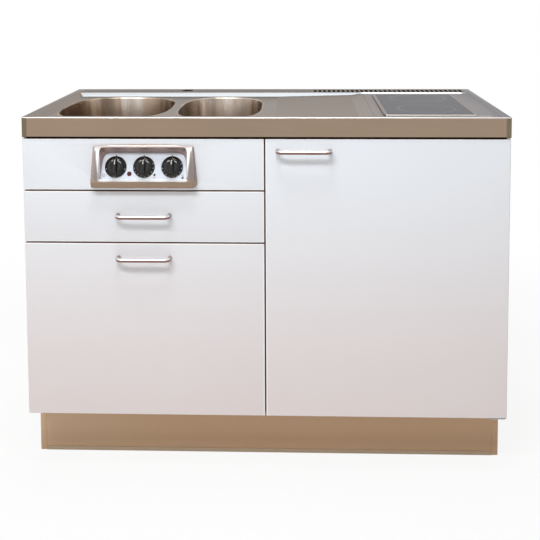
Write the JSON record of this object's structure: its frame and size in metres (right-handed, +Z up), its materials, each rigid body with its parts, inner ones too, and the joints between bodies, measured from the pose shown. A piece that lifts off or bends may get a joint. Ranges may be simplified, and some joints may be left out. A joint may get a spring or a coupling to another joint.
{
  "type": "kitchenette unit",
  "caption": "Compact kitchen unit: steel worktop with sink bowls, drainer and ceramic hob over a control panel, drawer, deep pull-out and refrigerator.",
  "frame": {"origin": "centre of the bounding box's footprint, on the floor; the box runs from the handles' bows to the worktop's rear edge", "axes": "+Z up; +X to the right as seen from the front, along the worktop; +Y from the fronts to the wall"},
  "size_m": [1.2, 0.629, 0.9008],
  "materials": {
    "worktop_steel": "brushed stainless sheet",
    "bowl_steel": "satin pressed stainless",
    "satin_steel": "fine satin",
    "zinc_sheet": "zinc-coated sheet",
    "chipboard": "raw board",
    "front_white": "white laminate on board, satin",
    "carcass_white": "white melamine on board",
    "hardboard": "brown hardboard",
    "plinth_tan": "tan laminate on board, satin",
    "seal_strip": "soft strip",
    "ceramic_glass": "glass ceramic, smooth",
    "dial_white": "satin enamel",
    "knob_black": "semi-gloss moulded",
    "lamp_red": "translucent red",
    "bakelite": "moulded",
    "insulation": "pressed insulating board",
    "white_plastic": "smooth white",
    "gasket_grey": "soft grey",
    "black_enamel": "black enamel",
    "shelf_glass": "clear"
  },
  "bodies": {
    "cabinet": {"worktop": "worktop_steel", "worktop_core": "chipboard", "bowl_large": "bowl_steel", "bowl_small": "bowl_steel", "waste_large": "satin_steel", "waste_small": "satin_steel", "waste_pipe": "white_plastic", "bottle_trap": "white_plastic", "hob_frame": "satin_steel", "hob_glass": "ceramic_glass", "hob_tray": "zinc_sheet", "heater_front": "insulation", "heater_rear": "insulation", "control_front": "front_white", "control_bezel": "satin_steel", "dial_plate": "dial_white", "timer_switch": "bakelite", "regulator_front_zone": "bakelite", "regulator_rear_zone": "bakelite", "pilot_lamp": "lamp_red", "side_left": "carcass_white", "side_middle": "carcass_white", "side_right": "carcass_white", "base_left": "carcass_white", "base_right": "carcass_white", "rail_front": "carcass_white", "rail_back": "carcass_white", "back_panel": "hardboard", "plinth_front": "plinth_tan", "plinth_left": "plinth_tan", "plinth_right": "plinth_tan", "plinth_back": "plinth_tan", "plinth_seal": "seal_strip", "drawer_runner_left": "zinc_sheet", "drawer_runner_right": "zinc_sheet", "pullout_runner_left": "zinc_sheet", "pullout_runner_right": "zinc_sheet", "fridge_cabinet": "white_plastic", "fridge_shelf_lower": "shelf_glass", "fridge_shelf_upper": "shelf_glass", "hinge_upper": "satin_steel", "hinge_lower": "satin_steel", "compressor": "black_enamel", "condenser": "black_enamel"},
    "drawer": {"drawer_front": "front_white", "drawer_box": "carcass_white", "drawer_handle": "satin_steel"},
    "pullout": {"pullout_front": "front_white", "pullout_box": "carcass_white", "pullout_handle": "satin_steel"},
    "fridge_door": {"fridge_door_panel": "front_white", "fridge_inner_door": "white_plastic", "fridge_gasket": "gasket_grey", "fridge_handle": "satin_steel"},
    "timer_knob": {"knob_timer": "knob_black", "spindle_timer": "zinc_sheet"},
    "front_zone_knob": {"knob_front_zone": "knob_black", "spindle_front_zone": "zinc_sheet"},
    "rear_zone_knob": {"knob_rear_zone": "knob_black", "spindle_rear_zone": "zinc_sheet"}
  },
  "joints": [
    {"name": "drawer_slide", "type": "slide", "parent": "cabinet", "child": "drawer", "axis": [0, -1, 0], "range_m": [0, 0.22]},
    {"name": "pullout_slide", "type": "slide", "parent": "cabinet", "child": "pullout", "axis": [0, -1, 0], "range_m": [0, 0.34]},
    {"name": "fridge_door_hinge", "type": "hinge", "parent": "cabinet", "child": "fridge_door", "pos_m": [0.5905, -0.2745, 0.496], "axis": [0, 0, 1], "range_deg": [0, 110]},
    {"name": "timer_turn", "type": "hinge", "parent": "cabinet", "child": "timer_knob", "pos_m": [-0.3685, -0.27705, 0.775], "axis": [0, -0.9439, 0.3304], "range_deg": [-300, 0]},
    {"name": "front_zone_turn", "type": "hinge", "parent": "cabinet", "child": "front_zone_knob", "pos_m": [-0.2985, -0.27705, 0.775], "axis": [0, -0.9439, 0.3304], "range_deg": [-285, 0]},
    {"name": "rear_zone_turn", "type": "hinge", "parent": "cabinet", "child": "rear_zone_knob", "pos_m": [-0.2285, -0.27705, 0.775], "axis": [0, -0.9439, 0.3304], "range_deg": [-285, 0]}
  ]
}
